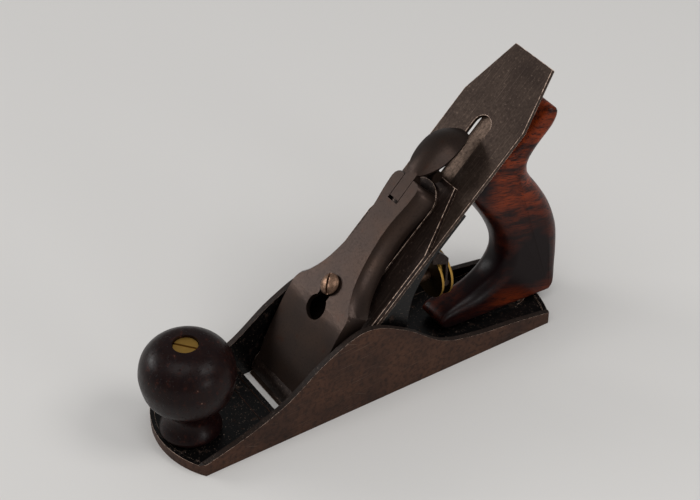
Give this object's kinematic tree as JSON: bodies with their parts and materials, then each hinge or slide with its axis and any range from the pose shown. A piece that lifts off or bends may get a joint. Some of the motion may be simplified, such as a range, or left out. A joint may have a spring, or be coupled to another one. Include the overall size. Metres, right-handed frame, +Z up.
{
  "type": "smoothing plane",
  "caption": "Metal bench plane with a curved-cheek sole, sloping iron held by a cammed lever cap, wooden knob and tote, brass depth nut and lateral lever.",
  "frame": {"origin": "middle of the sole's length and width, on the flat underside of the sole", "axes": "+X from the toe to the heel, along the sole; +Y across the sole; +Z up, away from the wood being planed"},
  "size_m": [0.2263, 0.052, 0.1421],
  "materials": {
    "japanned_casting": "brown patina outside, worn black japanning inside",
    "blade_steel": "satin with a thin brown patina",
    "lever_cap_iron": "smooth satin, purplish brown patina",
    "dark_steel": "dull, browned",
    "brass": "dull, tarnished",
    "knob_rosewood": "semi-gloss, dented and worn",
    "tote_rosewood": "semi-gloss, faded to dark in places"
  },
  "bodies": {
    "plane_body": {"body_casting": "japanned_casting", "frog": "japanned_casting", "frog_screws": "dark_steel", "frog_washers": "dark_steel", "adjusting_stud": "dark_steel", "fork_pin": "dark_steel", "lateral_rivet": "blade_steel", "lever_cap_screw": "dark_steel", "front_knob": "knob_rosewood", "knob_bolt": "dark_steel", "knob_nut": "brass", "rear_tote": "tote_rosewood", "tote_bolt": "dark_steel", "tote_nut": "brass"},
    "depth_nut": {"adjusting_nut": "brass"},
    "fork": {"forked_lever": "dark_steel"},
    "cap_iron_set": {"cap_iron": "blade_steel", "cap_iron_screw": "dark_steel"},
    "iron": {"cutting_iron": "blade_steel"},
    "lateral": {"lateral_lever": "blade_steel", "lateral_disc": "blade_steel"},
    "clamp": {"lever_cap": "lever_cap_iron", "cap_spring": "blade_steel", "spring_rivet": "dark_steel", "cam_pin": "dark_steel"},
    "cam": {"cam_lever": "lever_cap_iron"}
  },
  "joints": [
    {"name": "adjusting_nut_travel", "type": "slide", "parent": "plane_body", "child": "depth_nut", "axis": [1, 0, 0], "range_m": [-0.002, 0.002]},
    {"name": "fork_swing", "type": "hinge", "parent": "plane_body", "child": "fork", "pos_m": [0.031, 0, 0.058], "axis": [0, 1, 0], "range_deg": [-6.04, 6.04]},
    {"name": "iron_depth", "type": "slide", "parent": "plane_body", "child": "cap_iron_set", "axis": [0.7071, 0, 0.7071], "range_m": [-0.0015, 0.0015]},
    {"name": "iron_tilt", "type": "hinge", "parent": "cap_iron_set", "child": "iron", "pos_m": [-0.04358, 0, -0.00119], "axis": [-0.7071, 0, 0.7071], "range_deg": [-0.54, 0.54]},
    {"name": "lateral_lever_swing", "type": "hinge", "parent": "plane_body", "child": "lateral", "pos_m": [0.03998, 0, 0.08238], "axis": [-0.7071, 0, 0.7071], "range_deg": [-4, 4]},
    {"name": "lever_cap_slide", "type": "slide", "parent": "plane_body", "child": "clamp", "axis": [0.7069, 0.0262, 0.7069], "range_m": [0, 0.0124]},
    {"name": "cam_lever_open", "type": "hinge", "parent": "clamp", "child": "cam", "pos_m": [0.03141, 0.00143, 0.08936], "axis": [0.0185, -0.9997, 0.0185], "range_deg": [0, 80]}
  ],
  "couplings": [
    {"joint": "fork_swing", "follows": "adjusting_nut_travel", "rad_per_m": -52.63},
    {"joint": "iron_depth", "follows": "adjusting_nut_travel", "ratio": -0.747},
    {"joint": "iron_tilt", "follows": "lateral_lever_swing", "ratio": -0.134}
  ]
}
